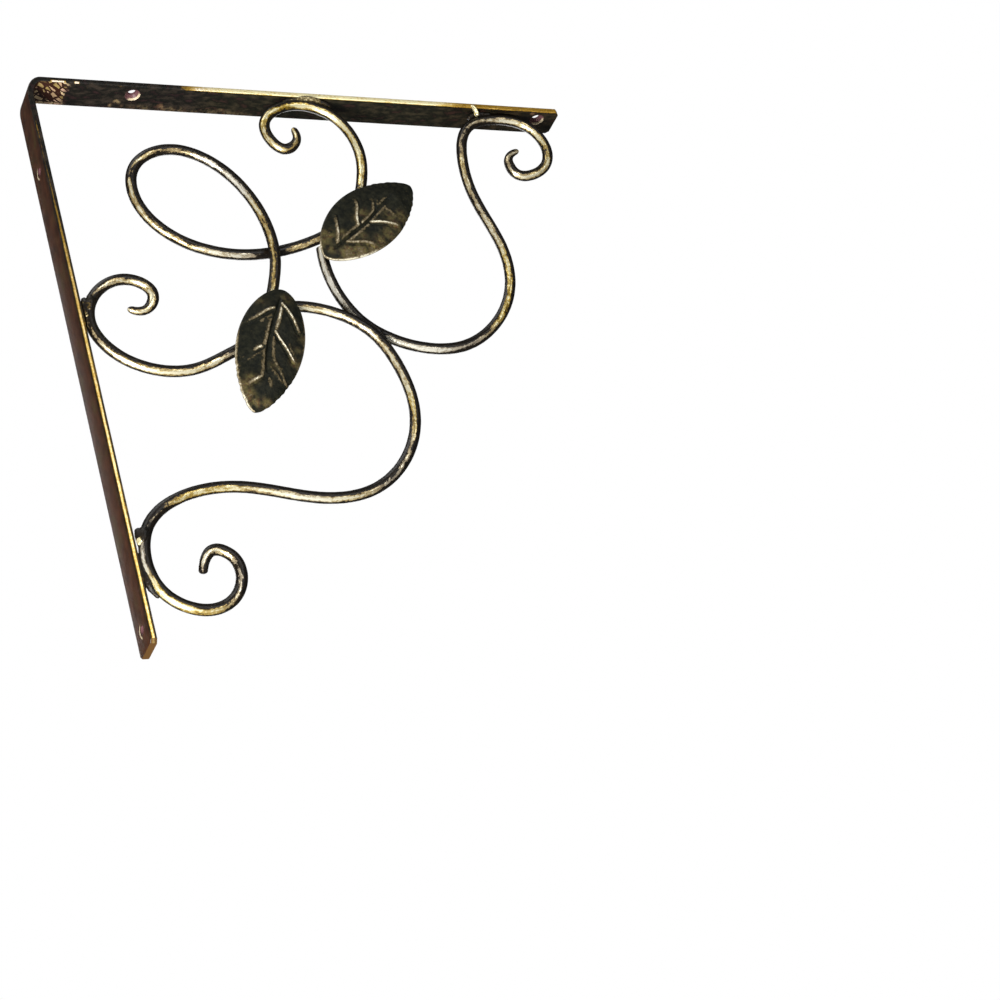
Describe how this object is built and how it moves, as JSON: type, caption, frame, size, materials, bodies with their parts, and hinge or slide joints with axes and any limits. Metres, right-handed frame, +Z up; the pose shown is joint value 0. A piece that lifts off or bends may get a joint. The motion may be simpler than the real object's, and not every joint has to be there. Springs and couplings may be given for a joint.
{
  "type": "shelf bracket",
  "caption": "Right-angled iron shelf bracket: a bent flat bar filled with scrolled rods and pressed leaves, screwed to a wall to carry a shelf.",
  "frame": {"origin": "centre of the wall arm's back face, half way up the arm and half way across the bar", "axes": "+X out from the wall along the shelf arm, +Z up, the scrolls and leaves face -Y"},
  "size_m": [0.265, 0.0209, 0.29],
  "materials": {
    "bar": "black paint with a brown cast and gold brushed along the edges, satin",
    "rod": "black paint with antique gold brushed over the crown, satin",
    "leaf": "black paint with gold rubbed on the veins and the rim, satin",
    "weld": "lumpy weld under black paint"
  },
  "bodies": {
    "root": {"angle_bar": "bar", "looped_rod": "rod", "shelf_scroll": "rod", "wall_scroll": "rod", "upper_leaf": "leaf", "lower_leaf": "leaf", "top_curl_weld": "weld", "shelf_scroll_weld": "weld", "left_curl_weld": "weld", "wall_scroll_weld": "weld"}
  },
  "joints": []
}
